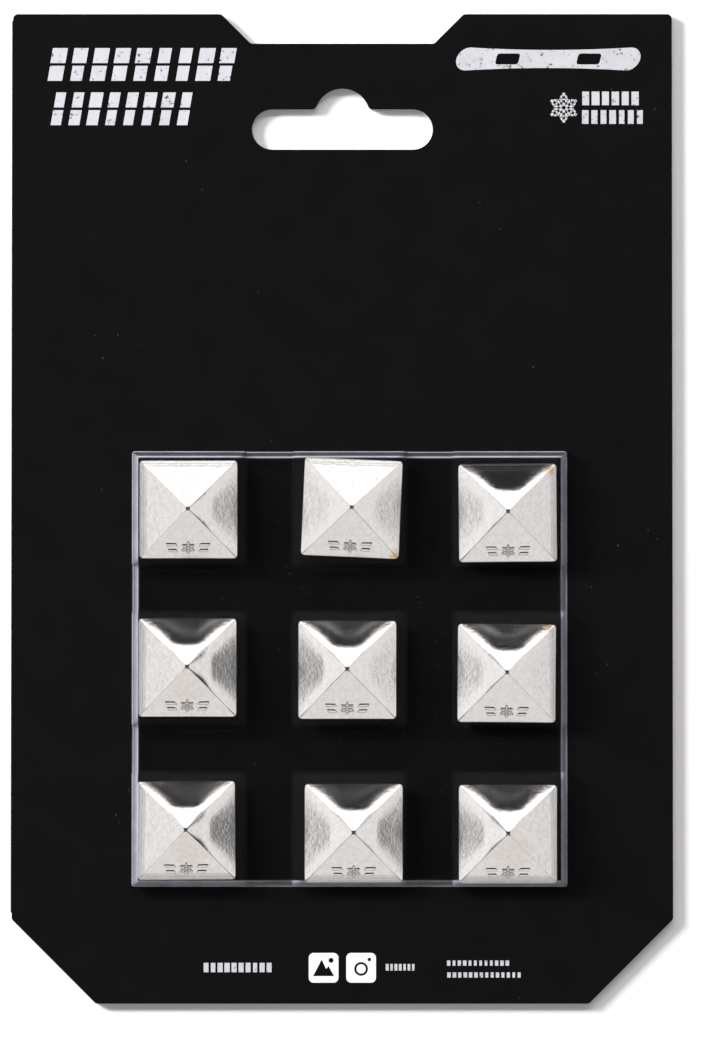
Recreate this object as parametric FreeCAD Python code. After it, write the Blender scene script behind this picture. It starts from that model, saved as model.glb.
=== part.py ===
"""A carded retail pack of nine stick-on metal traction studs for a snowboard deck.

The pack lies on its back: +Z comes out of the printed front, +Y points to the hang hole, +X is to
the right as the front is read. The origin is the middle of the pack's footprint, on the surface
that it lies on. Lengths are millimetres and angles are degrees.

From the bottom up: the back panel of the folded card, then on it nine release liners, foam pads and
studs in a three by three grid, then the clear blister over them, whose flange is held between the
back panel and the front panel.
"""
import FreeCAD, Part
import math
import os

# Card: one board folded along its left edge into two panels of the same outline.
card_width = 120.0
card_length = 180.0
board = 0.6                 # thickness of one panel
corner_cut = 15.3           # 45 degree cut at both bottom corners, along each edge
notch_floor = 33.4          # trapezoid notch in the top edge
notch_depth = 5.4
card_radius = 0.9           # blunting of the outline's corners

# Hang hole: a round-ended slot with a round bump above its middle.
hang_length = 32.9
hang_radius = 3.65          # the slot's ends, so the slot is twice this high
hang_down = 21.1            # from the card's top edge to the slot's middle line
bump_radius = 5.05
bump_up = 2.4               # from the slot's middle line to the bump's centre
bump_fillet = 1.0           # blend between slot and bump

# Stud: a die-cast hollow pyramid on a short vertical skirt.
stud_side = 18.0
stud_skirt = 1.0
stud_slope = 35.0
stud_tip = 0.7              # side of the blunted point
stud_radius = 0.8           # of the skirt's corners
stud_wall = 1.5
stud_rib = 1.2
stud_recess = 0.6           # how far the foam pad sits up inside the stud

# Foam pad and its release liner.
pad_side = 15.6
pad_thickness = 1.6
pad_radius = 1.5
pad_clearance = 0.1         # all round the pad in its recess
liner_side = 17.2
liner_thickness = 0.12
liner_radius = 1.2

# Grid of studs, and where its middle is on the card.
grid_count = 3
grid_pitch = 29.1
grid_right = 1.3            # right of the card's middle
grid_down = 29.3            # below the card's middle

# Blister, thermoformed from clear sheet: a flange, a low tray and a pocket over each stud.
sheet = 0.35
pocket_clearance = 1.0      # level play of a centred stud, on every side
pocket_tip = 1.8            # side of the pocket's flat point, inside
pocket_radius = 1.2         # of the pockets' and the tray's corners, outside
tray_rise = 1.4             # from the card's face to the top of the flat between pockets
tray_draft = 1.2            # how far the tray's side leans in over that rise
flange_width = 8.0
flange_radius = 3.0
flange_clearance = 0.1      # between the flange's edge and its seat in the front panel
window_clearance = 0.1      # between the tray and the front panel's window
run_out = 1.0               # how far a cutting solid passes the face that it cuts

# How each stud has settled in its pocket, left to right from the top row: right, up, turn.
stud_lies = (
    (-0.15, -0.15, 0.0), (0.40, 0.10, -2.5), (-0.40, -0.80, 0.5),
    (-0.30, 0.20, 0.0), (-0.40, -0.20, 0.0), (-0.60, -0.80, -0.4),
    (-0.50, -0.20, 0.4), (0.75, -0.70, 0.0), (-0.40, -0.85, 0.0),
)

# Derived places and sizes.
half_width = card_width / 2
half_length = card_length / 2
card_face = 2 * board
slope = math.tan(math.radians(stud_slope))
steep = 1 / math.cos(math.radians(stud_slope))
stud_half = stud_side / 2
stud_base = board + liner_thickness + pad_thickness - stud_recess
skirt_top = stud_base + stud_skirt
pocket_half = stud_half + pocket_clearance
tray_half = (grid_count - 1) / 2 * grid_pitch + pocket_half + sheet
tray_top = card_face + tray_rise
flange_half = tray_half + flange_width


def square(half, z, radius):
    """A level square wire about the Z axis, with rounded corners if it has a radius."""
    corners = [(-half, -half, radius), (half, -half, radius), (half, half, radius), (-half, half, radius)]
    return outline(corners, z)


def outline(corners, z=0.0):
    """A closed level wire through corners (x, y, radius), anticlockwise, each rounded by its radius."""
    ends = []
    for index, (x, y, radius) in enumerate(corners):
        corner = FreeCAD.Vector(x, y, z)
        before = corners[index - 1]
        after = corners[(index + 1) % len(corners)]
        back = (FreeCAD.Vector(before[0], before[1], z) - corner).normalize()
        ahead = (FreeCAD.Vector(after[0], after[1], z) - corner).normalize()
        if radius <= 0:
            ends.append((corner, None, corner))
            continue
        half_angle = back.getAngle(ahead) / 2
        reach = radius / math.tan(half_angle)
        bisector = (back + ahead).normalize()
        middle = corner + bisector * (radius / math.sin(half_angle) - radius)
        ends.append((corner + back * reach, middle, corner + ahead * reach))
    edges = []
    for index, (start, middle, end) in enumerate(ends):
        if middle is not None:
            edges.append(Part.Arc(start, middle, end).toShape())
        following = ends[(index + 1) % len(ends)][0]
        edges.append(Part.makeLine(end, following))
    return Part.Wire(edges)


def slab(wire, thickness):
    """The flat solid that stands on a level wire."""
    return Part.Face(wire).extrude(FreeCAD.Vector(0, 0, thickness))


def frustum(half, low, top_half, high):
    """A square pyramid about the Z axis, cut off level at its top, with flat sides and sharp edges."""
    corners = ((-1, -1), (1, -1), (1, 1), (-1, 1))
    foot = [FreeCAD.Vector(half * x, half * y, low) for x, y in corners]
    top = [FreeCAD.Vector(top_half * x, top_half * y, high) for x, y in corners]
    loops = [foot[::-1], top]
    for index in range(4):
        loops.append([foot[index - 1], foot[index], top[index], top[index - 1]])
    faces = [Part.Face(Part.makePolygon(loop + loop[:1])) for loop in loops]
    return Part.Solid(Part.Shell(faces))


def capped(half, radius, low, shoulder, top_half, high):
    """An upright block with rounded corners, whose sides lean in above its shoulder to a level top."""
    lean = (half - top_half) / (high - shoulder)
    roof = frustum(half + lean * (shoulder - low), low, top_half, high)
    return slab(square(half, low, radius), high - low).common(roof)


def card_outline(z):
    """The die-cut outline of either panel: cut bottom corners and a notch in the top edge."""
    notch_half = notch_floor / 2
    return outline([
        (-half_width + corner_cut, -half_length, card_radius),
        (half_width - corner_cut, -half_length, card_radius),
        (half_width, -half_length + corner_cut, card_radius),
        (half_width, half_length, card_radius),
        (notch_half + notch_depth, half_length, card_radius),
        (notch_half, half_length - notch_depth, card_radius),
        (-notch_half, half_length - notch_depth, card_radius),
        (-notch_half - notch_depth, half_length, card_radius),
        (-half_width, half_length, card_radius),
        (-half_width, -half_length + corner_cut, card_radius),
    ], z)


def hang_hole():
    """The solid that cuts the hang hole through both panels."""
    middle = half_length - hang_down
    reach = hang_length / 2 - hang_radius
    top = middle + hang_radius
    bump = middle + bump_up
    blend_y = top + bump_fillet
    blend_x = math.sqrt((bump_radius + bump_fillet) ** 2 - (blend_y - bump) ** 2)
    share = bump_radius / (bump_radius + bump_fillet)
    touch_x = blend_x * share
    touch_y = bump + (blend_y - bump) * share
    lean = math.atan2(touch_y - blend_y, touch_x - blend_x)
    bend = (lean - math.pi / 2) / 2
    low = -run_out

    def point(x, y):
        return FreeCAD.Vector(x, y, low)

    def blend(side):
        halfway_x = blend_x + bump_fillet * math.cos(bend)
        halfway_y = blend_y + bump_fillet * math.sin(bend)
        start = point(side * blend_x, top)
        end = point(side * touch_x, touch_y)
        return Part.Arc(start, point(side * halfway_x, halfway_y), end).toShape()

    edges = [
        Part.makeLine(point(-reach, middle - hang_radius), point(reach, middle - hang_radius)),
        Part.Arc(
            point(reach, middle - hang_radius), point(reach + hang_radius, middle), point(reach, top)
        ).toShape(),
        Part.makeLine(point(reach, top), point(blend_x, top)),
        blend(1),
        Part.Arc(
            point(touch_x, touch_y), point(0, bump + bump_radius), point(-touch_x, touch_y)
        ).toShape(),
        blend(-1),
        Part.makeLine(point(-blend_x, top), point(-reach, top)),
        Part.Arc(
            point(-reach, top), point(-reach - hang_radius, middle), point(-reach, middle - hang_radius)
        ).toShape(),
    ]
    return slab(Part.Wire(edges), card_face + 2 * run_out)


def grid_places():
    """The centre of every pocket, left to right from the top row."""
    middle = (grid_count - 1) / 2
    for row in range(grid_count):
        for column in range(grid_count):
            x = grid_right + (column - middle) * grid_pitch
            y = -grid_down + (middle - row) * grid_pitch
            yield x, y


def at_grid(shape):
    """A shape made about the Z axis, moved to the grid's middle."""
    return shape.translated(FreeCAD.Vector(grid_right, -grid_down, 0))


def settled(shape, index):
    """A shape made about the Z axis, moved to where one stud lies."""
    x, y = list(grid_places())[index]
    right, up, turn = stud_lies[index]
    moved = shape.copy()
    moved.rotate(FreeCAD.Vector(0, 0, 0), FreeCAD.Vector(0, 0, 1), turn)
    moved.translate(FreeCAD.Vector(x + right, y + up, 0))
    return moved


def back_card():
    return slab(card_outline(0), board).cut(hang_hole())


def front_card():
    """The panel with the window, and a seat for the blister's flange in its underside."""
    panel = slab(card_outline(board), board).cut(hang_hole())
    seat_half = flange_half + flange_clearance
    seat = slab(square(seat_half, board - run_out, flange_radius + flange_clearance), run_out + sheet)
    window_half = tray_half + window_clearance
    window = slab(square(window_half, 0, pocket_radius + window_clearance), card_face + run_out)
    return panel.cut(at_grid(seat)).cut(at_grid(window))


def tray(inset, floor):
    """The solid inside the tray's outer face, or inside its inner face when inset by the sheet."""
    half = tray_half - inset
    return capped(half, pocket_radius - inset, floor, card_face, half - tray_draft, tray_top - inset)


def pocket(inset, floor):
    """The solid inside one pocket's outer face, or inside its inner face when inset by the sheet."""
    cover = sheet - inset
    shoulder = skirt_top + cover * (steep - slope)
    tip_half = pocket_tip / 2 + cover * (steep - 1) / slope
    tip = skirt_top + (pocket_half - pocket_tip / 2) * slope + cover
    return capped(pocket_half + cover, pocket_radius - inset, floor, shoulder, tip_half, tip)


def blister():
    """Flange, tray and pockets as one sheet, open underneath."""
    places = list(grid_places())
    skin = slab(square(flange_half, board, flange_radius), sheet)
    skin = at_grid(skin).fuse(at_grid(tray(0, board)))
    hollow = at_grid(tray(sheet, board - run_out))
    for x, y in places:
        skin = skin.fuse(pocket(0, board).translated(FreeCAD.Vector(x, y, 0)))
        hollow = hollow.fuse(pocket(sheet, board - run_out).translated(FreeCAD.Vector(x, y, 0)))
    return skin.cut(hollow).removeSplitter()


def stud():
    """One hollow pyramid with a cross rib inside and a shallow seat for its pad."""
    tip_half = stud_tip / 2
    tip = skirt_top + (stud_half - tip_half) * slope
    body = capped(stud_half, stud_radius, stud_base, skirt_top, tip_half, tip)
    seat_half = pad_side / 2 + pad_clearance
    seat_top = stud_base + stud_recess
    seat = slab(square(seat_half, stud_base - run_out, pad_radius), run_out + stud_recess)
    ceiling = skirt_top - stud_wall * steep
    hollow_half = min(stud_half - (seat_top - ceiling) / slope, seat_half)
    hollow_top = ceiling + (stud_half - tip_half) * slope
    hollow = frustum(hollow_half, seat_top, tip_half, hollow_top)
    length = 2 * stud_side
    rib = Part.makeBox(length, stud_rib, length, FreeCAD.Vector(-length / 2, -stud_rib / 2, 0))
    cross = rib.copy()
    cross.rotate(FreeCAD.Vector(0, 0, 0), FreeCAD.Vector(0, 0, 1), 90)
    return body.cut(seat).cut(hollow.cut(rib).cut(cross))


def pad():
    """Double-sided foam tape, up inside the stud by the depth of the seat."""
    return slab(square(pad_side / 2, board + liner_thickness, pad_radius), pad_thickness)


def liner():
    return slab(square(liner_side / 2, board, liner_radius), liner_thickness)


nodes = {"back_card": back_card(), "front_card": front_card(), "blister": blister()}
for number in range(1, grid_count ** 2 + 1):
    for name, shape in (("stud", stud()), ("pad", pad()), ("liner", liner())):
        nodes[f"{name}_{number}"] = settled(shape, number - 1)

os.makedirs("parts", exist_ok=True)
for name, shape in nodes.items():
    shape.exportStep(f"parts/{name}.step")
    box = shape.BoundBox
    print(f"{name}: {len(shape.Solids)} solid, valid {shape.isValid()}, {shape.Volume:.1f} mm3,"
          f" z {box.ZMin:.2f} to {box.ZMax:.2f}")
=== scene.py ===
"""A carded retail pack of nine stick-on pyramid studs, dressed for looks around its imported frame.

The pack lies on its back on a pale floor: +Z comes out of the printed front, +Y points to the hang
hole. Lengths are metres, and MM turns a size in millimetres into metres.
"""

import math

import bmesh
import bpy
import numpy as np
from mathutils import Matrix, Vector


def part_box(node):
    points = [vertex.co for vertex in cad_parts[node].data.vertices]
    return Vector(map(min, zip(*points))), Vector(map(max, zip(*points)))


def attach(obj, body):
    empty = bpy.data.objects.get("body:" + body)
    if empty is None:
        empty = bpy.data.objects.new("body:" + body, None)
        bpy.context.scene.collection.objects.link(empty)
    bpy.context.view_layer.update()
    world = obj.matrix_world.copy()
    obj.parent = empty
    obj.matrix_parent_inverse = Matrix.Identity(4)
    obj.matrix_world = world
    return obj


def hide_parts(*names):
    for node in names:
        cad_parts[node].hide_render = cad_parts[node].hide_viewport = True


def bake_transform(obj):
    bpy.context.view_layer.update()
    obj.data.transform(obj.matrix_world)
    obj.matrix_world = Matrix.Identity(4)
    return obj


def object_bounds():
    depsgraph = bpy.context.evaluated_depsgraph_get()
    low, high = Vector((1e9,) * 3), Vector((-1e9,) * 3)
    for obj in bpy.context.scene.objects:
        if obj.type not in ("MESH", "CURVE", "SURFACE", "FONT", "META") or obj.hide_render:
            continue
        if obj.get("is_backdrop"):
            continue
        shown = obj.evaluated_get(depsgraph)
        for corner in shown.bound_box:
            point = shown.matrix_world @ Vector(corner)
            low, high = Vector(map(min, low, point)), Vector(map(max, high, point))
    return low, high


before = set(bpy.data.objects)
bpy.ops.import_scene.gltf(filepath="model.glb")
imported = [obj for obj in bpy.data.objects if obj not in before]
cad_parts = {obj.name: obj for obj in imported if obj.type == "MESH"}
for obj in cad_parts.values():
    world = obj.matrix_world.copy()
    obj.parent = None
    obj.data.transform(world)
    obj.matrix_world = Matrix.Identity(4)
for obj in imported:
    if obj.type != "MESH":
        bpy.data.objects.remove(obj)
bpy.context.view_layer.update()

MM = 0.001

# Card.
CORNER_CUT = 15.3 * MM          # of the bottom corners, along each edge
SPINE_END = 1.2 * MM            # how far the fold's rounded spine stops short of the card's corners
SPINE_BULGE = 0.35              # of one panel's thickness, past the card's edge
PRINT_DEPTH = 0.03 * MM
PRINT_SINK = 0.005 * MM         # into the card's face
HEADLINE_LEAN = 0.17

# Stud: a cast pyramid on a short skirt.
STUD_SKIRT = 1.0 * MM
STUD_RADIUS = 0.8 * MM          # of the skirt's corners
STUD_EASE = 0.16 * MM           # rounding of the foot's edge
STUD_SHOULDER = 0.22 * MM       # rounding where skirt and faces meet
STUD_SLOPE = math.tan(math.radians(35))
STUD_TIP = 0.13 * MM            # half side of the blunted point
LOWER_SWELL = 0.05 * MM         # of the face that carries the mark
STUD_SWELLS = (                 # of the other faces of each stud, in mm: upper, right, left
    (0.0, 0.33, 0.0), (0.0, 0.20, 0.12), (0.32, 0.0, 0.25),
    (0.37, 0.44, 0.0), (0.37, 0.15, 0.26), (0.37, 0.02, 0.27),
    (0.39, 0.44, 0.0), (0.39, 0.30, 0.22), (0.39, 0.0, 0.32),
)
STUD_RECESS = 0.6 * MM          # seat for the foam pad
STUD_ROOM = 6.95 * MM           # half side of the hollow over the seat
STUD_TURNS = {2: -2.5, 3: 0.5, 6: -0.4, 7: 0.4}   # degrees, the rest lie square
STUD_LEANS = (0.6, 0.6, -0.6, -0.6, -0.6, -0.6, -1.0, -1.0, -1.0)  # degrees about X, each stud's own
AMBER_PLACES = {                # by stud: across and up as shares of its half side, size in mm, strength
    2: ((0.93, -0.93, 1.1, 0.9),),
    3: ((0.85, 0.86, 0.9, 0.7),),
    4: ((0.0, -0.48, 3.2, 0.13),),
    6: ((0.84, 0.93, 1.0, 0.8),),
    7: ((0.05, -0.42, 3.6, 0.14),),
    9: ((0.10, -0.40, 3.8, 0.16),),
}
PAD_HALF = 7.8 * MM
PAD_RADIUS = 1.5 * MM
LINER_HALF = 8.6 * MM
LINER_RADIUS = 1.2 * MM

# Cast mark on a stud's lower face.
MARK_CRYSTAL = (1.35 * MM, 0.42 * MM)            # an arm's length and width
MARK_BARS = (                                    # up, out and length of the bars on each side, in mm
    (0.62, 2.95, 2.5), (-0.62, 2.75, 2.1),
)
MARK_BAR_HEIGHT = 0.62 * MM
MARK_BAR_LEAN = 0.5
MARK_BLANK = 0.1 * MM           # its thickness before it is wrapped on to the face
MARK_DEPTH = 0.40 * MM
MARK_SINK = 0.14 * MM           # of that depth, how much is below the face
MARK_TAPER = 0.18 * MM          # how far its sides lean in
MARK_UP = 1.95 * MM             # from the foot's edge to its middle
MARK_SHADE_TOP = 0.17 * MM           # how far up its sides the painted shade reaches

# Blister.
SHEET = 0.35 * MM
TRAY_RISE = 1.4 * MM            # above the card's face
TRAY_DRAFT = 1.2 * MM
POCKET_PLAY = 1.0 * MM
POCKET_TIP = 0.9 * MM           # half side of a pocket's flat point, inside
POCKET_ROOM = 0.55 * MM         # over a stud's swells and its mark, where the stud slides against a slope
GRID_PITCH = 29.1 * MM
FLANGE_WIDTH = 8.0 * MM

low, high = (Vector(corner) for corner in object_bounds())
CARD_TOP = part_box("front_card")[1][2]
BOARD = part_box("back_card")[1][2]


# ---------------------------------------------------------------- shader maths

class Wire:
    """A shader socket that adds Math nodes when it is used in an expression."""

    def __init__(self, finish, socket):
        self.finish = finish
        self.socket = socket

    def maths(self, operation, *others, clamp=False):
        settings = {"operation": operation, "use_clamp": clamp}
        return self.finish.node("Math", settings, [self, *others])

    def __add__(self, other):
        return self.maths("ADD", other)

    __radd__ = __add__

    def __mul__(self, other):
        return self.maths("MULTIPLY", other)

    __rmul__ = __mul__

    def __sub__(self, other):
        return self.maths("SUBTRACT", other)

    def __rsub__(self, other):
        return self.finish.node("Math", {"operation": "SUBTRACT"}, [other, self])

    def power(self, other):
        return self.maths("POWER", other)

    def smallest(self, other):
        return self.maths("MINIMUM", other)

    def largest(self, other):
        return self.maths("MAXIMUM", other)

    def step(self, start, end):
        """0 at start, 1 at end, smooth between."""
        settings = {"interpolation_type": "SMOOTHSTEP"}
        inputs = {"Value": self, "From Min": start, "From Max": end}
        return self.finish.node("MapRange", settings, inputs)


class Finish:
    """Builds one node tree, of a material or of the world."""

    def __init__(self, owner):
        owner.use_nodes = True
        self.tree = owner.node_tree
        self.tree.nodes.clear()

    def node(self, kind, settings=None, inputs=(), output=0):
        """Adds a ShaderNode of that kind, sets it up, fills its sockets and returns one output."""
        made = self.tree.nodes.new("ShaderNode" + kind)
        for name, value in (settings or {}).items():
            setattr(made, name, value)
        pairs = inputs.items() if isinstance(inputs, dict) else enumerate(inputs)
        for key, value in pairs:
            self.fill(made.inputs[key], value)
        return Wire(self, made.outputs[output])

    def fill(self, socket, value):
        """Links a wire to a socket, or sets the socket to a plain value."""
        if isinstance(value, Wire):
            self.tree.links.new(value.socket, socket)
        else:
            socket.default_value = value

    def place(self):
        return self.node("TexCoord", output="Object")

    def attribute(self, name):
        return self.node("Attribute", {"attribute_name": name}, output="Fac")

    def noise(self, scale, detail=2.0, rough=0.5, stretch=(1, 1, 1)):
        where = self.place()
        if stretch != (1, 1, 1):
            where = self.node("Mapping", {}, {"Vector": where, "Scale": stretch})
        inputs = {"Vector": where, "Scale": scale, "Detail": detail, "Roughness": rough}
        return self.node("TexNoise", {}, inputs)

    def cells(self, scale):
        """Distance to the nearest of many scattered points."""
        return self.node("TexVoronoi", {}, {"Vector": self.place(), "Scale": scale}, output="Distance")

    def mix(self, share, first, second):
        """Blends two colours by a share from 0 to 1."""
        made = self.tree.nodes.new("ShaderNodeMix")
        made.data_type = "RGBA"
        for index, value in ((0, share), (6, first), (7, second)):
            self.fill(made.inputs[index], value)
        return Wire(self, made.outputs[2])

    def bump(self, height, strength, distance):
        inputs = {"Height": height, "Strength": strength, "Distance": distance}
        return self.node("Bump", {}, inputs)

    def shader(self, **sockets):
        """A Principled shader; underscores in a name stand for spaces."""
        inputs = {name.replace("_", " "): value for name, value in sockets.items()}
        return self.node("BsdfPrincipled", {}, inputs)

    def surface(self, shader):
        output = self.tree.nodes.new("ShaderNodeOutputMaterial")
        self.tree.links.new(shader.socket, output.inputs["Surface"])


def grey(level, tint=(1.0, 1.0, 1.0)):
    return tuple(level * part for part in tint) + (1.0,)


def new_finish(name):
    material = bpy.data.materials.new(name)
    return material, Finish(material)


# ------------------------------------------------------------------- materials

def black_card_finish():
    """Black ink under a satin coating: faint board grain, rub marks and specks of dust."""
    material, f = new_finish("black_card_face")
    grain = f.noise(2600, detail=4, rough=0.6)
    mottle = f.noise(140, detail=3)
    rubs = f.noise(90, detail=6, rough=0.7, stretch=(1, 9, 1)).step(0.64, 0.80)
    dust = 1 - f.cells(420).step(0.04, 0.09)
    dusty = dust * f.noise(60, detail=1).step(0.58, 0.70)
    ink = f.mix(mottle, grey(0.0040, (1.06, 0.98, 1.0)), grey(0.0057, (1.05, 0.98, 1.0)))
    rubbed = f.mix(rubs * 0.3, ink, grey(0.011))
    colour = f.mix(dusty * 0.45, rubbed, grey(0.10))
    roughness = 0.44 + mottle * 0.12 + rubs * 0.1
    normal = f.bump(grain * 0.7 + mottle * 0.3, 0.12, 0.05 * MM)
    f.surface(f.shader(Base_Color=colour, Roughness=roughness, Normal=normal, Specular_IOR_Level=0.08))
    return material


def paper_core_finish():
    """The cut edge of the board: pale grey fibres."""
    material, f = new_finish("paper_core")
    fibres = f.noise(3000, detail=4, rough=0.7, stretch=(1, 1, 6))
    colour = f.mix(fibres.step(0.35, 0.7), grey(0.34, (1, 0.98, 0.97)), grey(0.62, (1, 0.99, 0.98)))
    normal = f.bump(fibres, 0.4, 0.05 * MM)
    f.surface(f.shader(Base_Color=colour, Roughness=0.85, Normal=normal))
    return material


def ink_finish():
    """Off-white screen print, worn through in small chips and scratches."""
    material, f = new_finish("white_print")
    chips = f.noise(900, detail=6, rough=0.75).step(0.57, 0.64)
    patches = f.noise(160, detail=3).step(0.36, 0.56)
    scratches = f.noise(500, detail=4, rough=0.7, stretch=(1, 12, 1)).step(0.66, 0.71)
    worn = (chips * patches).largest(scratches * 0.8)
    tone = f.noise(300, detail=3)
    ink = f.mix(tone, grey(0.47, (1.0, 0.985, 1.06)), grey(0.60, (1.0, 0.985, 1.06)))
    colour = f.mix(worn, ink, grey(0.03))
    f.surface(f.shader(Base_Color=colour, Roughness=0.5 + tone * 0.15))
    return material


def metal_finish():
    """Bright nickel on a die casting: orange peel, mottling, amber stains and painted shade round the foot
    of the mark.
    """
    material, f = new_finish("bright_nickel")
    peel = f.noise(2000, detail=3, rough=0.6)
    fine = f.noise(7000, detail=2)
    swell = f.noise(260, detail=2)
    mottle = f.noise(1100, detail=4, rough=0.65)
    mark_shade = f.attribute("mark_shade")
    pits = 1 - f.cells(1500).step(0.05, 0.16)
    amber = f.attribute("amber")
    stain = (amber * (0.55 + f.noise(900, detail=3))).smallest(1.0)
    clean = f.mix(mottle.step(0.3, 0.7), grey(0.87, (1.0, 0.98, 0.96)), grey(0.95, (1.0, 0.985, 0.975)))
    stained = f.mix(stain, clean, (0.78, 0.50, 0.20, 1.0))
    # Painted shade: the lower sides of the mark's strokes turn near black and rougher.
    colour = f.mix(mark_shade.step(0.1, 0.75) * 0.95, stained, grey(0.05, (1.0, 0.93, 0.85)))
    roughness = 0.05 + peel * 0.07 + stain * 0.1 + mark_shade * 0.3
    height = peel * 0.7 + fine * 0.2 + swell * 0.5 + mottle * 0.8 - pits * 0.3
    normal = f.bump(height, 0.24, 0.05 * MM)
    f.surface(f.shader(Base_Color=colour, Metallic=1.0, Roughness=roughness, Normal=normal))
    return material


def foam_finish():
    """Closed-cell foam tape."""
    material, f = new_finish("foam_tape")
    cells = f.cells(5200)
    tone = f.noise(900, detail=3)
    colour = f.mix(tone, grey(0.055), grey(0.095, (1.0, 1.0, 1.03)))
    normal = f.bump(cells, 0.6, 0.06 * MM)
    f.surface(f.shader(Base_Color=colour, Roughness=0.9, Normal=normal))
    return material


def liner_finish():
    """Glazed release paper, straw-coloured, with faint handling creases."""
    material, f = new_finish("liner_paper")
    fibres = f.noise(2400, detail=4, rough=0.65)
    creases = f.noise(350, detail=5, rough=0.7, stretch=(1, 4, 1)).step(0.60, 0.70)
    colour = f.mix(fibres, grey(0.66, (1.0, 0.93, 0.76)), grey(0.78, (1.0, 0.95, 0.80)))
    creased = f.mix(creases * 0.3, colour, grey(0.5, (1.0, 0.93, 0.8)))
    normal = f.bump(fibres * 0.5 + creases * 0.5, 0.15, 0.04 * MM)
    f.surface(f.shader(Base_Color=creased, Roughness=0.32 + fibres * 0.12, Normal=normal))
    return material


def clear_finish():
    """Thin clear sheet: see-through, with a gloss of its own, hazy where it was stretched down, with painted
    sheen down the tray's sides and painted highlights along its creases.
    """
    material, f = new_finish("clear_sheet")
    whitened_and_highlit = f.attribute("whitened_and_highlit")
    wave = f.noise(110, detail=2)
    scuffs = f.noise(700, detail=5, rough=0.75, stretch=(1, 7, 1)).step(0.70, 0.76)
    specks = 1 - f.cells(520).step(0.03, 0.07)
    streaks = f.noise(240, detail=3)
    # Whitened sheet, painted sheen down the tray's sides and painted crease highlights feed this share, with
    # scuffs and specks.
    pale_and_highlight_share = (scuffs * 0.05 + specks * 0.08 + whitened_and_highlit * (0.11 + streaks * 0.14)).smallest(0.65)
    normal = f.bump(wave, 0.2, 0.2 * MM)
    facing = f.node("LayerWeight", {}, {"Blend": 0.5, "Normal": normal}, output="Facing")
    gloss = facing.power(5) * 0.7 + 0.003
    clear = f.node("BsdfTransparent", {}, {"Color": grey(0.985, (0.995, 1.0, 1.0))})
    skin = f.shader(Base_Color=grey(0.9), Metallic=1.0, Roughness=0.05, Normal=normal)
    # Pale colour of the whitened sheet, also used for the painted sheen and painted crease highlights.
    pale_and_highlight_shader = f.shader(Base_Color=grey(0.60, (1.0, 1.0, 1.14)), Roughness=0.35)
    coated = f.node("MixShader", {}, [gloss, clear, skin])
    f.surface(f.node("MixShader", {}, [pale_and_highlight_share, coated, pale_and_highlight_shader]))
    return material


def floor_finish():
    material, f = new_finish("floor_paper")
    tone = f.noise(3, detail=2)
    colour = f.mix(tone, grey(0.91), grey(0.93))
    f.surface(f.shader(Base_Color=colour, Roughness=0.8))
    return material


# ------------------------------------------------------------------- mesh help

def new_piece(name, mesh, *materials):
    piece = bpy.data.objects.new(name, mesh)
    bpy.context.collection.objects.link(piece)
    for material in materials:
        mesh.materials.append(material)
    return piece


def mesh_of(name, build):
    """A smooth-shaded mesh filled by build(bm), with its normals turned outwards."""
    bm = bmesh.new()
    build(bm)
    bmesh.ops.recalc_face_normals(bm, faces=bm.faces)
    mesh = bpy.data.meshes.new(name)
    bm.to_mesh(mesh)
    bm.free()
    for polygon in mesh.polygons:
        polygon.use_smooth = True
    return mesh


def plain_mesh(piece):
    """The mesh that a piece's modifiers make, as a new plain mesh."""
    depsgraph = bpy.context.evaluated_depsgraph_get()
    return bpy.data.meshes.new_from_object(piece.evaluated_get(depsgraph))


def settle(piece):
    """Replaces a piece's live modifiers by the mesh that they make."""
    mesh = plain_mesh(piece)
    piece.modifiers.clear()
    piece.data = mesh


def rounded_square(half, radius, side_steps=1, arc_steps=4):
    """Points (x, y) round a square with rounded corners, anticlockwise from the right side's foot."""
    points = []
    straight = half - radius
    for quarter in range(4):
        turn = Matrix.Rotation(quarter * math.pi / 2, 2)
        for step in range(side_steps):
            points.append(turn @ Vector((half, -straight + 2 * straight * step / side_steps)))
        for step in range(arc_steps):
            angle = math.pi / 2 * step / arc_steps
            corner = Vector((straight + radius * math.cos(angle), straight + radius * math.sin(angle)))
            points.append(turn @ corner)
    return points


def skin_rings(bm, rings):
    """Joins rings of as many points each by quads, and caps the first and last."""
    loops = [[bm.verts.new(point) for point in ring] for ring in rings]
    count = len(loops[0])
    for lower, upper in zip(loops, loops[1:]):
        for index in range(count):
            after = (index + 1) % count
            bm.faces.new((lower[index], lower[after], upper[after], upper[index]))
    bm.faces.new(loops[0][::-1])
    bm.faces.new(loops[-1])


def ring_at(half, radius, z, side_steps=1, arc_steps=4):
    return [Vector((p.x, p.y, z)) for p in rounded_square(half, radius, side_steps, arc_steps)]


def centre_of(node):
    first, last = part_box(node)
    return Vector(((first[0] + last[0]) / 2, (first[1] + last[1]) / 2, first[2]))


# ------------------------------------------------------------------------ card

def card_piece(name, node, body, face, core):
    """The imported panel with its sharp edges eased, black on both faces and bare board on its cut edges."""
    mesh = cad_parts[node].data.copy()
    mesh.materials.clear()
    bm = bmesh.new()
    bm.from_mesh(mesh)
    bmesh.ops.remove_doubles(bm, verts=bm.verts, dist=0.002 * MM)
    for polygon in bm.faces:
        polygon.smooth = False
        polygon.material_index = 0 if abs(polygon.normal.z) > 0.7 else 1
    bm.to_mesh(mesh)
    bm.free()
    piece = new_piece(name, mesh, face, core)
    ease = piece.modifiers.new("eased_edges", "BEVEL")
    ease.width = 0.05 * MM
    ease.segments = 2
    ease.limit_method = "ANGLE"
    ease.angle_limit = math.radians(50)
    settle(piece)
    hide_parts(node)
    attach(piece, body)


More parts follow.
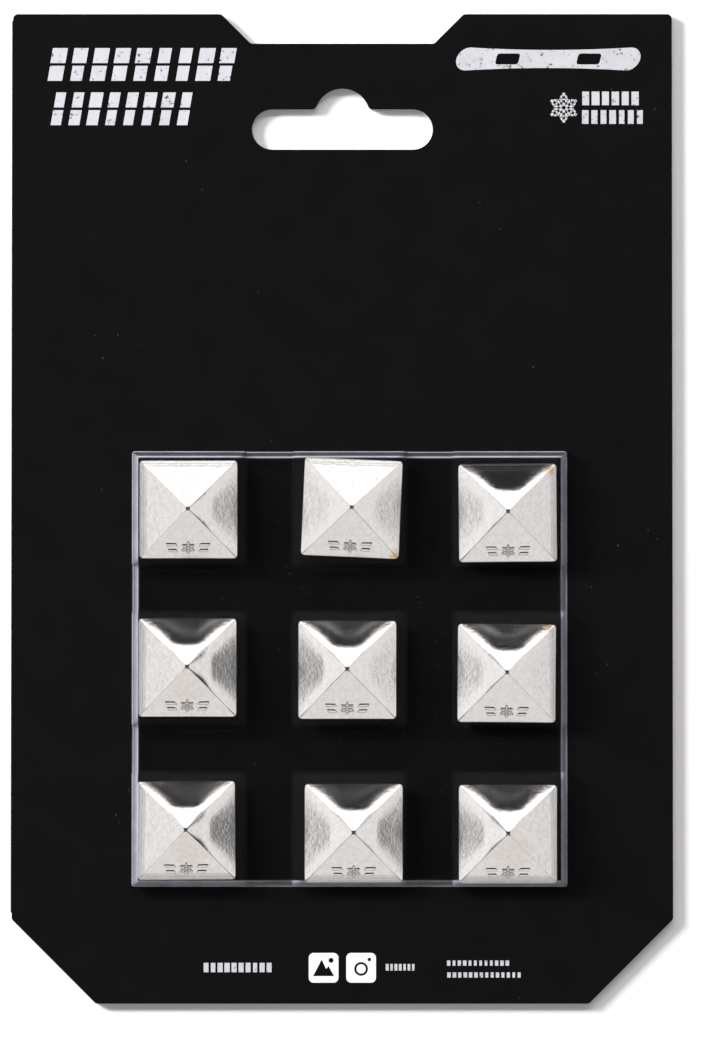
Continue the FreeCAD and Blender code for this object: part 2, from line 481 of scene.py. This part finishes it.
def fold_spine(face):
    """The rounded outside of the fold, along the card's left edge."""
    edge = low.x
    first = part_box("front_card")[0][1] + CORNER_CUT + SPINE_END
    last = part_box("front_card")[1][1] - SPINE_END
    steps = 16
    spans = 48

    def build(bm):
        rings = []
        for span in range(spans + 1):
            y = first + (last - first) * span / spans
            ring = []
            for step in range(steps + 1):
                angle = math.pi / 2 + math.pi * step / steps
                x = edge + BOARD * SPINE_BULGE * math.cos(angle)
                ring.append(Vector((x, y, BOARD + BOARD * math.sin(angle))))
            for step in range(1, steps):
                ring.append(Vector((edge, y, BOARD * 2 * step / steps)))
            rings.append(ring)
        skin_rings(bm, rings)

    piece = new_piece("card_fold", mesh_of("card_fold", build), face)
    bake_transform(piece)


# ----------------------------------------------------------------------- print

def new_tree(name, inputs):
    """A Geometry Nodes tree with named inputs, and its input and output nodes."""
    tree = bpy.data.node_groups.new(name, "GeometryNodeTree")
    tree.interface.new_socket("Geometry", in_out="OUTPUT", socket_type="NodeSocketGeometry")
    for label, kind in inputs:
        tree.interface.new_socket(label, in_out="INPUT", socket_type="NodeSocket" + kind)
    return tree, tree.nodes.new("NodeGroupInput"), tree.nodes.new("NodeGroupOutput")


def add(tree, kind, settings=None, **sockets):
    """Adds a node; a socket takes a value or another node's output."""
    made = tree.nodes.new(kind)
    for name, value in (settings or {}).items():
        setattr(made, name, value)
    for name, value in sockets.items():
        socket = made.inputs[int(name[1:])] if name[0] == "_" else made.inputs[name.replace("_", " ")]
        if isinstance(value, bpy.types.NodeSocket):
            tree.links.new(value, socket)
        else:
            socket.default_value = value
    return made


def finish_tree(tree, geometry, material, end):
    """Ends a tree in Realize Instances and Set Material."""
    real = add(tree, "GeometryNodeRealizeInstances", Geometry=geometry)
    painted = add(tree, "GeometryNodeSetMaterial", Geometry=real.outputs[0], Material=material)
    tree.links.new(painted.outputs[0], end.inputs[0])
    return tree


def grown(tree, **values):
    """The plain mesh that a tree makes with these inputs."""
    holder = new_piece("holder", bpy.data.meshes.new("holder"))
    modifier = holder.modifiers.new("tree", "NODES")
    modifier.node_group = tree
    for item in tree.interface.items_tree:
        label = item.name.replace(" ", "_")
        if item.in_out == "INPUT" and label in values:
            modifier[item.identifier] = values[label]
    mesh = plain_mesh(holder)
    bpy.data.objects.remove(holder)
    return mesh


def block_row_tree():
    """A row of printed blocks of uneven width, leaning like a headline; its middle is at the origin."""
    tree, start, end = new_tree("block_row", [
        ("Count", "Int"), ("Cell", "Float"), ("Height", "Float"), ("Gap", "Float"), ("Lean", "Float"),
        ("Thickness", "Float"), ("Seed", "Int"), ("Material", "Material"),
    ])
    take = start.outputs
    span = add(tree, "ShaderNodeMath", {"operation": "MULTIPLY_ADD"}, _0=take["Count"], _1=-0.5, _2=0.5)
    first = add(tree, "ShaderNodeMath", {"operation": "MULTIPLY"}, _0=span.outputs[0], _1=take["Cell"])
    origin = add(tree, "ShaderNodeCombineXYZ", X=first.outputs[0])
    pace = add(tree, "ShaderNodeCombineXYZ", X=take["Cell"])
    line = add(tree, "GeometryNodeMeshLine", Count=take["Count"], Start_Location=origin.outputs[0],
               Offset=pace.outputs[0])
    width = add(tree, "ShaderNodeMath", {"operation": "SUBTRACT"}, _0=take["Cell"], _1=take["Gap"])
    size = add(tree, "ShaderNodeCombineXYZ", X=width.outputs[0], Y=take["Height"], Z=take["Thickness"])
    block = add(tree, "GeometryNodeMeshCube", Size=size.outputs[0])
    narrow = add(tree, "FunctionNodeRandomValue", {"data_type": "FLOAT"}, Seed=take["Seed"])
    narrow.inputs[2].default_value = 0.72
    narrow.inputs[3].default_value = 1.0
    scale = add(tree, "ShaderNodeCombineXYZ", X=narrow.outputs[1], Y=1.0, Z=1.0)
    placed = add(tree, "GeometryNodeInstanceOnPoints", Points=line.outputs[0], Instance=block.outputs[0],
                 Scale=scale.outputs[0])
    solid = add(tree, "GeometryNodeRealizeInstances", Geometry=placed.outputs[0])
    where = add(tree, "GeometryNodeInputPosition")
    parts = add(tree, "ShaderNodeSeparateXYZ", Vector=where.outputs[0])
    shift = add(tree, "ShaderNodeMath", {"operation": "MULTIPLY"}, _0=parts.outputs[1], _1=take["Lean"])
    offset = add(tree, "ShaderNodeCombineXYZ", X=shift.outputs[0])
    leaning = add(tree, "GeometryNodeSetPosition", Geometry=solid.outputs[0], Offset=offset.outputs[0])
    return finish_tree(tree, leaning.outputs[0], take["Material"], end)


def crystal_tree():
    """A snow crystal: six arms round the origin, each with two pairs of side branches."""
    tree, start, end = new_tree("snow_crystal", [
        ("Arms", "Int"), ("Length", "Float"), ("Width", "Float"), ("Thickness", "Float"),
        ("Material", "Material"),
    ])
    take = start.outputs

    def bar(length_share, out_share, turn):
        length = add(tree, "ShaderNodeMath", {"operation": "MULTIPLY"}, _0=take["Length"], _1=length_share)
        out = add(tree, "ShaderNodeMath", {"operation": "MULTIPLY"}, _0=take["Length"], _1=out_share)
        half = add(tree, "ShaderNodeMath", {"operation": "MULTIPLY"}, _0=length.outputs[0], _1=0.5)
        size = add(tree, "ShaderNodeCombineXYZ", X=length.outputs[0], Y=take["Width"], Z=take["Thickness"])
        cube = add(tree, "GeometryNodeMeshCube", Size=size.outputs[0])
        ahead = add(tree, "ShaderNodeCombineXYZ", X=half.outputs[0])
        moved = add(tree, "GeometryNodeTransform", Geometry=cube.outputs[0], Translation=ahead.outputs[0])
        along = add(tree, "ShaderNodeCombineXYZ", X=out.outputs[0])
        spun = add(tree, "GeometryNodeTransform", Geometry=moved.outputs[0], Translation=along.outputs[0],
                   Rotation=(0, 0, turn))
        return spun.outputs[0]

    arm = add(tree, "GeometryNodeJoinGeometry")
    slant = math.radians(58)
    for share, place, turn in ((1.0, 0.0, 0.0), (0.36, 0.38, slant), (0.36, 0.38, -slant),
                               (0.24, 0.66, slant), (0.24, 0.66, -slant)):
        tree.links.new(bar(share, place, turn), arm.inputs[0])
    hub = add(tree, "GeometryNodeMeshLine", Count=take["Arms"], Offset=(0, 0, 0))
    order = add(tree, "GeometryNodeInputIndex")
    share = add(tree, "ShaderNodeMath", {"operation": "DIVIDE"}, _0=order.outputs[0], _1=take["Arms"])
    angle = add(tree, "ShaderNodeMath", {"operation": "MULTIPLY"}, _0=share.outputs[0], _1=2 * math.pi)
    spin = add(tree, "ShaderNodeCombineXYZ", Z=angle.outputs[0])
    placed = add(tree, "GeometryNodeInstanceOnPoints", Points=hub.outputs[0], Instance=arm.outputs[0],
                 Rotation=spin.outputs[0])
    return finish_tree(tree, placed.outputs[0], take["Material"], end)


def moved_mesh(mesh, x, y, z=0.0, lean=0.0, turn=0.0):
    """Leans and turns a mesh about the origin, then moves it."""
    shear = Matrix.Identity(4)
    shear[0][1] = lean
    mesh.transform(Matrix.Translation((x, y, z)) @ Matrix.Rotation(turn, 4, "Z") @ shear)
    return mesh


def joined(meshes):
    """One mesh of several, which must use the same material."""
    bm = bmesh.new()
    for mesh in meshes:
        bm.from_mesh(mesh)
    whole = meshes[0].copy()
    bm.to_mesh(whole)
    bm.free()
    return whole


def flat_shape(outlines, thickness, material):
    """A thin closed slab from flat outlines; an outline inside another is a hole."""
    curve = bpy.data.curves.new("outline", "CURVE")
    curve.dimensions = "2D"
    curve.fill_mode = "BOTH"
    curve.extrude = thickness / 2
    for points in outlines:
        spline = curve.splines.new("POLY")
        spline.points.add(len(points) - 1)
        for point, (x, y) in zip(spline.points, points):
            point.co = (x, y, 0, 1)
        spline.use_cyclic_u = True
    holder = bpy.data.objects.new("outline", curve)
    bpy.context.collection.objects.link(holder)
    mesh = plain_mesh(holder)
    bpy.data.objects.remove(holder)
    bm = bmesh.new()
    bm.from_mesh(mesh)
    bmesh.ops.remove_doubles(bm, verts=bm.verts, dist=0.0005 * MM)
    bm.to_mesh(mesh)
    bm.free()
    mesh.materials.clear()
    mesh.materials.append(material)
    return mesh


def circle(x, y, radius, count=40):
    return [(x + radius * math.cos(2 * math.pi * k / count), y + radius * math.sin(2 * math.pi * k / count))
            for k in range(count)]


def rounded_box(width, height, radius, steps=8):
    """Points round a rectangle with rounded corners, about the origin."""
    points = []
    for sx, sy, start in ((1, 1, 0), (-1, 1, 90), (-1, -1, 180), (1, -1, 270)):
        for step in range(steps + 1):
            angle = math.radians(start + 90 * step / steps)
            points.append((sx * (width / 2 - radius) + radius * math.cos(angle),
                           sy * (height / 2 - radius) + radius * math.sin(angle)))
    return points


def board_outline(length, width, waist):
    """A snowboard from above: round nose and tail and a narrower middle."""
    points = []
    straight = length / 2 - width / 2
    for side in (1, -1):
        for step in range(17):
            angle = side * math.pi / 2 - math.pi * step / 16
            points.append((side * straight + width / 2 * math.cos(angle), width / 2 * math.sin(angle)))
        for step in range(1, 16):
            x = side * straight * (1 - step / 8)
            y = -side * (width / 2 - waist * (1 - (x / straight) ** 2))
            points.append((x, y))
    return points


def print_front(ink):
    """The front print: generic blocks, bars and winter pictograms, with no lettering."""
    rows = block_row_tree()
    crystal = crystal_tree()
    level = CARD_TOP + PRINT_DEPTH / 2 - PRINT_SINK
    top = high.y
    bottom = low.y
    left = low.x
    right = high.x

    def blocks(count, width, height, x, y, gap, lean, seed):
        mesh = grown(rows, Count=count, Cell=width / count, Height=height, Gap=gap, Lean=lean,
                     Thickness=PRINT_DEPTH, Seed=seed, Material=ink)
        return moved_mesh(mesh, x, y, level)

    def printed(name, *meshes):
        piece = new_piece(name, joined(meshes))
        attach(piece, "front_panel")

    def snow(x, y, length, width):
        mesh = grown(crystal, Arms=6, Length=length, Width=width, Thickness=PRINT_DEPTH, Material=ink)
        return moved_mesh(mesh, x, y, level, turn=math.pi / 6)

    def shape(outlines, x, y, lean=0.0):
        return moved_mesh(flat_shape(outlines, PRINT_DEPTH, ink), x, y, level, lean)

    # Headline, top left: two lines, each of two rows of slanted blocks.
    rows_of_blocks = []
    for count, width, across, down, seed in ((9, 34.6 * MM, 23.5 * MM, 9.2 * MM, 3),
                                             (8, 26.3 * MM, 19.8 * MM, 17.3 * MM, 8)):
        for up, more in ((1.62 * MM, 0), (-1.62 * MM, 9)):
            rows_of_blocks.append(blocks(count, width, 2.75 * MM, left + across + HEADLINE_LEAN * up,
                                         top - down + up, 1.0 * MM, HEADLINE_LEAN, seed + more))
    printed("headline_print", *rows_of_blocks)

    # Pictogram, top right: a board lying on its edge, with its two binding plates left black.
    deck = board_outline(33.5 * MM, 4.2 * MM, 0.45 * MM)
    plate = rounded_box(4.2 * MM, 2.0 * MM, 0.5 * MM)
    holes = [[(x + side * 7.4 * MM, y) for x, y in plate] for side in (-1, 1)]
    printed("board_print", shape([deck, *holes], right - 22.5 * MM, top - 8.2 * MM, 0.25))

    # Under it: a snow crystal beside two short bars.
    printed("crystal_print", snow(right - 19.7 * MM, top - 17.1 * MM, 2.7 * MM, 0.5 * MM),
            blocks(6, 10.8 * MM, 2.5 * MM, right - 11.2 * MM, top - 15.4 * MM, 0.35 * MM, 0.0, 5),
            blocks(7, 11.6 * MM, 2.5 * MM, right - 10.8 * MM, top - 18.8 * MM, 0.35 * MM, 0.0, 6))

    # Foot: bars, two rounded badges, one with a peak and a sun left black and one with a ring and a dot left
    # black, more bars.
    badge = rounded_box(5.4 * MM, 5.4 * MM, 0.9 * MM)
    peak = [(-1.9 * MM, -1.5 * MM), (1.9 * MM, -1.5 * MM), (0.9 * MM, 0.3 * MM), (0.45 * MM, -0.2 * MM),
            (-0.35 * MM, 1.5 * MM)]
    sun = circle(1.35 * MM, 1.35 * MM, 0.45 * MM, 24)
    moon = circle(0, -0.2 * MM, 1.25 * MM, 40)
    core = circle(0, -0.2 * MM, 0.85 * MM, 40)
    foot = bottom + 6.5 * MM
    printed("foot_print",
            blocks(10, 12.7 * MM, 1.7 * MM, left + 41.0 * MM, foot + 0.05 * MM, 0.28 * MM, 0.0, 11),
            shape([badge, peak, sun], left + 56.6 * MM, foot),
            shape([badge, moon, core, circle(1.5 * MM, 1.5 * MM, 0.32 * MM, 20)], left + 63.4 * MM, foot),
            blocks(7, 5.5 * MM, 1.2 * MM, left + 70.5 * MM, foot + 0.1 * MM, 0.2 * MM, 0.0, 12),
            blocks(12, 11.6 * MM, 0.95 * MM, left + 84.6 * MM, foot + 0.85 * MM, 0.3 * MM, 0.0, 13),
            blocks(14, 13.7 * MM, 0.95 * MM, left + 85.7 * MM, foot - 1.3 * MM, 0.3 * MM, 0.0, 14))


# --------------------------------------------------------------------- blister

def soft_max(first, second, blend):
    """The larger of two arrays, with the crossing rounded over a height of blend."""
    near = np.clip(blend - np.abs(first - second), 0, None) / blend
    return np.maximum(first, second) + near * near * blend / 4


def soft_min(first, second, blend):
    return -soft_max(-first, -second, blend)


def blister_sizes():
    """The sheet's sizes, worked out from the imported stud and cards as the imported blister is."""
    foot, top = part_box("stud_1")
    stud_half = (top[0] - foot[0]) / 2
    return {
        "pocket": stud_half + POCKET_PLAY + SHEET,
        "tray": GRID_PITCH + stud_half + POCKET_PLAY + SHEET,
        "flange": GRID_PITCH + stud_half + POCKET_PLAY + SHEET + FLANGE_WIDTH,
        "shoulder": foot[2] + STUD_SKIRT + POCKET_ROOM,
        "tip": foot[2] + STUD_SKIRT + POCKET_ROOM + (stud_half + POCKET_PLAY - POCKET_TIP) * STUD_SLOPE,
    }


def sheet_height(x, y, inset, sizes):
    """Height of the sheet's upper face, or of its lower face when inset by the sheet's thickness."""
    steep = math.sqrt(1 + STUD_SLOPE ** 2)
    cover = SHEET - inset
    base = BOARD + cover
    half = sizes["tray"] - inset
    depth = soft_min(half - abs(x), half - abs(y), 1.4 * MM)
    rise = (CARD_TOP + TRAY_RISE - BOARD - SHEET) / TRAY_DRAFT
    flat = CARD_TOP + TRAY_RISE - inset + 0 * x
    height = soft_max(base + 0 * x, soft_min(base + depth * rise, flat, 0.5 * MM), 0.4 * MM)
    half = sizes["pocket"] - inset
    shoulder = sizes["shoulder"] + cover * (steep - STUD_SLOPE)
    tip = sizes["tip"] + cover + 0 * x
    for row in (-1, 0, 1):
        for column in (-1, 0, 1):
            from_x, from_y = abs(x - column * GRID_PITCH), abs(y - row * GRID_PITCH)
            depth = soft_min(half - from_x, half - from_y, 0.55 * MM)
            wall = soft_min(base + (depth + 0.06 * MM) * 60, shoulder + depth * STUD_SLOPE, 0.25 * MM)
            height = soft_max(height, soft_min(wall, tip, 0.3 * MM), 0.3 * MM)
    return height


def whiteness_and_highlights(x, y, slant, sizes):
    """How hazy the stretched sheet is: 1 down the tray's sides, partly whitened sheet and partly painted
    sheen; more along their creases, as painted highlights; a trace of whitened sheet on pockets.

    The tray's upper side, towards the hang hole, is clearer than the others but has the brightest painted
    crease highlights.
    """
    depth = (sizes["tray"] - np.maximum(abs(x), abs(y))) / MM
    upper = y > abs(x)
    # Down the tray's sides: partly whitened sheet, partly painted sheen.
    side = np.clip((1.12 - depth) / 0.15, 0, 1) * (depth > -0.1)
    side = side * (1 - 0.8 * upper)
    # Painted highlights along the tray's creases, brightest on the upper side.
    foot_crease = np.exp(-((depth - 0.02) / 0.13) ** 2)
    top_crease = np.exp(-((depth - 1.0) / 0.12) ** 2) * 0.7
    pockets = np.clip(slant / 6, 0, 1) * 0.03
    return np.maximum(side + (foot_crease + top_crease) * (1.3 + 1.7 * upper), pockets)


def sheet_lines(sizes):
    """Where the sheet's mesh is cut along one side: close together at walls, wider on slopes and flats."""
    wall = [0.5, 0.3, 0.15, 0.07, 0.03, -0.01, -0.10, -0.20, -0.28, -0.34, -0.45]
    reaches = [sizes["pocket"] + step * MM for step in wall]
    slope_end = sizes["pocket"] - 0.4 * MM
    count = 20
    reaches += [slope_end * step / count for step in range(count)]
    places = set()
    for pocket in (-1, 0, 1):
        for reach in reaches:
            places.update((pocket * GRID_PITCH + reach, pocket * GRID_PITCH - reach))
        places.update(pocket * GRID_PITCH + side * (sizes["pocket"] + 2.5 * MM) for side in (-1, 1))
    for side in (-1, 1):
        for step in (0.55, 0.70, 0.84, 0.93, 1.02, 1.11, 1.20, 1.35):
            places.add(side * (sizes["tray"] - step * MM))
        places.update((side * (sizes["flange"] - 3 * MM), side * sizes["flange"]))
    lines = []
    for place in sorted(places):
        if not lines or place - lines[-1] > 0.03 * MM:
            lines.append(place)
    return lines


def blister_piece(clear):
    """Flange, tray and nine pockets as one drawn sheet with rounded creases and even thickness."""
    sizes = blister_sizes()
    first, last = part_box("blister")
    middle_x, middle_y = (first[0] + last[0]) / 2, (first[1] + last[1]) / 2
    lines = np.array(sheet_lines(sizes))
    count = len(lines)
    x, y = np.meshgrid(lines, lines, indexing="ij")
    upper = sheet_height(x, y, 0.0, sizes)
    lower = sheet_height(x, y, SHEET, sizes)
    # Whitened sheet with painted sheen and painted crease highlights, kept as a point attribute.
    pale_and_highlit = whiteness_and_highlights(x, y, np.hypot(*np.gradient(upper, lines, lines)), sizes)
    points = []
    for heights in (upper, lower):
        points += zip((x + middle_x).ravel(), (y + middle_y).ravel(), heights.ravel())
    faces = []
    below = count * count
    for i in range(count - 1):
        for j in range(count - 1):
            a = i * count + j
            b, c, d = a + count, a + count + 1, a + 1
            falling = (lines[i] + lines[i + 1]) * (lines[j] + lines[j + 1]) < 0
            faces.append((a, b, c, d) if not falling else (b, c, d, a))
            faces.append((below + a, below + d, below + c, below + b))
    rim = [i * count for i in range(count)] + [(count - 1) * count + j for j in range(1, count)]
    rim += [i * count + count - 1 for i in range(count - 2, -1, -1)] + list(range(count - 2, 0, -1))
    for a, b in zip(rim, rim[1:] + rim[:1]):
        faces.append((b, a, below + a, below + b))
    mesh = bpy.data.meshes.new("blister_shell")
    mesh.from_pydata(points, [], faces)
    mesh.polygons.foreach_set("use_smooth", [True] * len(mesh.polygons))
    whitened_and_highlit = mesh.attributes.new("whitened_and_highlit", "FLOAT", "POINT")
    whitened_and_highlit.data.foreach_set("value", np.tile(pale_and_highlit.ravel(), 2).astype(np.float32))
    body = new_piece("blister_shell", mesh, clear)
    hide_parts("blister")
    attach(body, "front_panel")


# ----------------------------------------------------------------------- studs

def crest(climb):
    """0 at the foot of a face, about 1 over halfway up its climb, and 0 again at the point."""
    rise, fall = climb / 0.59, (1 - climb) / 0.41
    near = max(0.0, 0.35 - abs(rise - fall)) / 0.35
    return min(rise, fall) - near * near * 0.35 / 4


def stud_face(x, y, half, swells):
    """Height of the stud's top at a point: sides rise to a blunt point, each swollen by its own amount."""
    reach = max(abs(x), abs(y), 1e-9)
    across = min(abs(x), abs(y)) / reach
    climb = max(0.0, min(1.0, (half - reach) / (half - STUD_TIP)))
    if abs(x) > abs(y):
        swell = swells["right" if x > 0 else "left"]
    else:
        swell = swells["upper" if y > 0 else "lower"]
    flat = STUD_SKIRT + (half - max(reach, STUD_TIP)) * STUD_SLOPE
    return flat + swell * (1 - across ** 4) * crest(climb)


def swells_of(number):
    """How far each face of one stud swells."""
    upper, right, left = STUD_SWELLS[number - 1]
    return {"upper": upper * MM, "lower": LOWER_SWELL, "right": right * MM, "left": left * MM}


def stud_mesh(half, swells):
    """One casting about the Z axis with its foot at z 0, hollow underneath."""
    side_steps = 14
    climb_steps = 26

    def build(bm):
        rings = []
        for step in range(4):
            angle = math.pi / 2 * step / 3
            inset = STUD_EASE * (1 - math.sin(angle))
            z = STUD_EASE * (1 - math.cos(angle))
            rings.append(ring_at(half - inset, STUD_RADIUS - inset, z, side_steps))
        rings.append(ring_at(half, STUD_RADIUS, STUD_SKIRT - STUD_SHOULDER, side_steps))
        for step in range(1, 4):
            share = step / 4
            inset = STUD_SHOULDER * 0.55 * share ** 2
            z = STUD_SKIRT - STUD_SHOULDER * (1 - share) + STUD_SHOULDER * 0.12 * share ** 2
            rings.append(ring_at(half - inset, STUD_RADIUS, z, side_steps))
        climbs = [0.012, 0.018] + [step / climb_steps for step in range(1, climb_steps + 1)]
        for climb in climbs:
            reach = half - (half - STUD_TIP) * climb
            radius = 0.2 * MM + 0.55 * MM * max(0.0, 1 - 4 * climb)
            ring = ring_at(reach, min(radius, reach * 0.6), 0, side_steps)
            for point in ring:
                point.z = stud_face(point.x, point.y, half, swells)
            rings.append(ring)
        seat = PAD_HALF + 0.1 * MM
        hollow_tip = 0.3 * MM
        hollow_top = STUD_RECESS + (STUD_ROOM - hollow_tip) * STUD_SLOPE
        under = [ring_at(hollow_tip, 0.1 * MM, hollow_top, side_steps),
                 ring_at(STUD_ROOM, 0.3 * MM, STUD_RECESS, side_steps),
                 ring_at(seat, PAD_RADIUS, STUD_RECESS, side_steps),
                 ring_at(seat, PAD_RADIUS, 0, side_steps)]
        skin_rings(bm, under + rings)

    return mesh_of("stud", build)


def face_mark(half, meshes):
    """The cast mark on the lower face, its strokes raised from the face with sloping sides."""
    swells = {"upper": 0.0, "lower": LOWER_SWELL, "right": 0.0, "left": 0.0}
    bm = bmesh.new()
    for mesh in meshes:
        bm.from_mesh(mesh)
    bm.normal_update()
    for vertex in bm.verts:
        if vertex.normal.z > 0:
            vertex.co -= Vector((vertex.normal.x, vertex.normal.y, 0)).normalized() * MARK_TAPER
    bmesh.ops.subdivide_edges(bm, edges=bm.edges, cuts=1, use_grid_fill=True)
    rise = math.cos(math.atan(STUD_SLOPE))
    for vertex in bm.verts:
        x, along, level = vertex.co
        y = -half + MARK_UP + along * rise
        share = level / MARK_BLANK + 0.5
        vertex.co = (x, y, stud_face(x, y, half, swells) + share * MARK_DEPTH - MARK_SINK)
    mesh = bpy.data.meshes.new("face_mark")
    bm.to_mesh(mesh)
    bm.free()
    return mesh


def soft_square(half, radius, height, bulge, name):
    """A thin rounded square with slightly swollen sides and eased edges, standing on z 0."""
    def build(bm):
        rings = []
        steps = 8
        for step in range(steps + 1):
            angle = math.pi * step / steps
            out = bulge * math.sin(angle) ** 0.6 if 0 < step < steps else 0.0
            rings.append(ring_at(half - bulge + out, radius, height * (1 - math.cos(angle)) / 2, 6, 8))
        skin_rings(bm, rings)
    return mesh_of(name, build)


def stain_and_mark_shade(mesh, half, number, first_of_mark):
    """Marks a stud's amber spots and blushes, and the painted shade that sits round the foot of its cast
    mark.
    """
    swells = swells_of(number)
    amber = mesh.attributes.new("amber", "FLOAT", "POINT")
    mark_shade = mesh.attributes.new("mark_shade", "FLOAT", "POINT")
    for index, vertex in enumerate(mesh.vertices):
        x, y, z = vertex.co
        for across, up, size, level in AMBER_PLACES.get(number, ()):
            gap = math.hypot(x - across * half, y - up * half) / (size * MM)
            amber.data[index].value = max(amber.data[index].value, level * max(0.0, 1 - gap ** 2))
        # Painted shade on the lower sides of the mark's strokes.
        if index >= first_of_mark:
            mark_shade.data[index].value = float(z - stud_face(x, y, half, swells) < MARK_SHADE_TOP)


def mark_strokes(metal):
    """The mark's blanks, lying flat about the origin: a crystal between two bars on each side."""
    arm, width = MARK_CRYSTAL
    crystal = grown(crystal_tree(), Arms=6, Length=arm, Width=width, Thickness=MARK_BLANK, Material=metal)
    crystal.transform(Matrix.Rotation(math.pi / 6, 4, "Z"))
    strokes = [crystal]
    rows = block_row_tree()
    for side in (-1, 1):
        for up, out, length in MARK_BARS:
            bar = grown(rows, Count=1, Cell=length * MM, Height=MARK_BAR_HEIGHT, Gap=0.0,
                        Lean=MARK_BAR_LEAN * side, Thickness=MARK_BLANK, Seed=2, Material=metal)
            strokes.append(moved_mesh(bar, side * out * MM, up * MM))
    return strokes


def stud_units(metal, foam, paper):
    """Nine studs, each with its foam pad and release liner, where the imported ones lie."""
    first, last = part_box("stud_1")
    half = (last[0] - first[0]) / 2
    pad_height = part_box("pad_1")[1][2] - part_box("pad_1")[0][2]
    liner_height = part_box("liner_1")[1][2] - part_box("liner_1")[0][2]
    mark = face_mark(half, mark_strokes(metal))
    mark.materials.clear()
    mark.materials.append(metal)
    pad = soft_square(PAD_HALF, PAD_RADIUS, pad_height, 0.12 * MM, "pad")
    liner = soft_square(LINER_HALF, LINER_RADIUS, liner_height, 0.02 * MM, "liner")
    for number in range(1, 10):
        turn = Matrix.Rotation(math.radians(STUD_TURNS.get(number, 0.0)), 4, "Z")
        lean = Matrix.Rotation(math.radians(STUD_LEANS[number - 1]), 4, "X")
        casting = stud_mesh(half, swells_of(number))
        casting.materials.append(metal)
        whole = joined([casting, mark])
        stain_and_mark_shade(whole, half, number, len(casting.vertices))
        whole.transform(lean)
        for part, mesh, material, slot in (("stud", whole, metal, "bright_metal"),
                                           ("pad", pad, foam, "foam_tape"),
                                           ("liner", liner, paper, "liner_paper")):
            node = f"{part}_{number}"
            own = mesh.copy()
            own.materials.clear()
            own.transform(Matrix.Translation(centre_of(node)) @ turn)
            piece = new_piece(f"{part}_piece_{number}", own, material)
            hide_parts(node)
            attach(piece, f"stud_unit_{number}")
            part == "pad"


# ----------------------------------------------------------------------- stage

def make_world():
    """A light tent: bright round the horizon, brightest behind the hang hole, dim above and at its hem."""
    world = bpy.data.worlds.new("tent")
    bpy.context.scene.world = world
    f = Finish(world)
    way = f.node("TexCoord", output="Generated")
    split = f.node("SeparateXYZ", {}, [way])
    right, ahead, up = (Wire(f, socket) for socket in split.socket.node.outputs)
    overhead = up.step(0.54, 0.64)
    behind = ahead.step(0.25, 0.85)
    near = (0 - ahead).step(0.25, 0.85)
    leftward = (0 - right).step(0.0, 1.0)
    side_level = 0.12 + up.step(0.262, 0.296) * (0.76 + leftward * 0.14)
    near_level = 0.77 + up.step(0.1, 0.4) * 0.06
    behind_level = 0.004 + up.step(0.280, 0.300) * 1.5
    level = side_level * (1 - behind - near) + behind_level * behind + near_level * near
    ceiling = up.step(0.68, 0.74) * (1 - up.step(0.95, 0.985)) * (1 - ahead.step(0.0, 0.3))
    level = level * (1 - overhead * 0.985) + ceiling * 0.15
    tint = f.node("CombineColor", {}, [level, level * 0.955, level * 0.95])
    output = f.tree.nodes.new("ShaderNodeOutputWorld")
    background = f.node("Background", {}, {"Color": tint, "Strength": 1.0})
    f.tree.links.new(background.socket, output.inputs["Surface"])


def soft_light(name, place, width, depth, power):
    """A soft area light that points at the origin and that no bright surface mirrors."""
    data = bpy.data.lights.new(name, "AREA")
    data.shape = "RECTANGLE"
    data.size = width
    data.size_y = depth
    data.energy = power
    lamp = bpy.data.objects.new(name, data)
    bpy.context.collection.objects.link(lamp)
    lamp.location = place
    lamp.rotation_euler = (-Vector(place)).to_track_quat("-Z", "Y").to_euler()
    lamp.visible_camera = False
    lamp.visible_glossy = False


def make_stage():
    """Pale floor, light from the upper left, and the camera straight above."""
    floor = new_piece("floor", mesh_of("floor", lambda bm: bmesh.ops.create_grid(
        bm, x_segments=1, y_segments=1, size=2.5)), floor_finish())
    floor.data.transform(Matrix.Translation((0, 0, -0.0002)))
    floor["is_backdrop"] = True
    soft_light("key", (-1.13, 0.58, 0.59), 0.4, 0.4, 38)
    soft_light("back_strip", (0, 0.95, 1.1), 1.5, 0.2, 9)
    bpy.context.scene.view_settings.view_transform = "Standard"

    camera = bpy.data.objects.new("camera", bpy.data.cameras.new("camera"))
    bpy.context.collection.objects.link(camera)
    frame_height = 192.1 * MM
    away = 1.3
    tilt = math.radians(2.0)
    aim = Vector((3.2 * MM, -3.65 * MM, 0))
    camera.location = aim + Vector((0, -math.sin(tilt), math.cos(tilt))) * away
    camera.rotation_euler = (tilt, 0, 0)
    camera.data.sensor_fit = "VERTICAL"
    camera.data.sensor_height = 24
    camera.data.lens = 24 * away / frame_height
    camera.data.clip_start = 0.05
    camera.data.clip_end = 20
    bpy.context.scene.camera = camera


make_stage()
make_world()
black = black_card_finish()
core = paper_core_finish()
ink = ink_finish()
card_piece("back_panel_card", "back_card", "back_panel", black, core)
card_piece("front_panel_card", "front_card", "front_panel", black, core)
fold_spine(black)
print_front(ink)
blister_piece(clear_finish())
stud_units(metal_finish(), foam_finish(), liner_finish())
